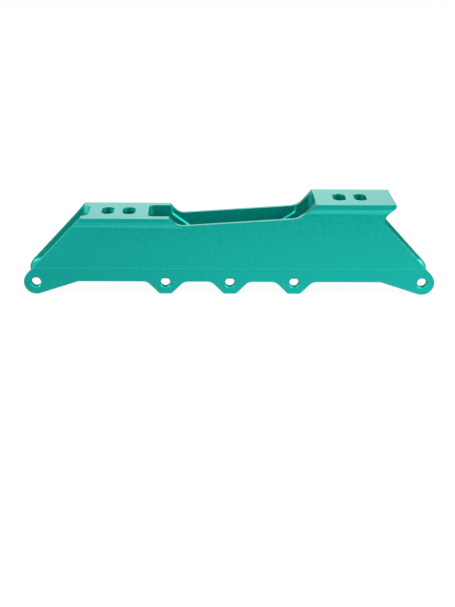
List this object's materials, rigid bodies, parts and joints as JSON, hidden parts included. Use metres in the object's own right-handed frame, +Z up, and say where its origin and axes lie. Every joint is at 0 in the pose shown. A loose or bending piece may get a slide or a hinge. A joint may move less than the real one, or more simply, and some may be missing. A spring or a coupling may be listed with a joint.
{
  "type": "inline skate frame",
  "caption": "Bare aluminium inline skate frame: side walls with axle holes, joined by a low toe plate and a raised heel plate with bolt slots.",
  "frame": {"origin": "on the plane that the frame stands on, under the middle axle hole", "axes": "+X from toe to heel, +Y to the skate's right, +Z up towards the boot"},
  "size_m": [0.2936, 0.0402, 0.068],
  "materials": {
    "anodised_aluminium": "satin bead-blasted, anodised teal"
  },
  "bodies": {
    "root": {"left_side_wall": "anodised_aluminium", "right_side_wall": "anodised_aluminium", "toe_mount_bridge": "anodised_aluminium", "heel_mount_bridge": "anodised_aluminium"}
  },
  "joints": []
}
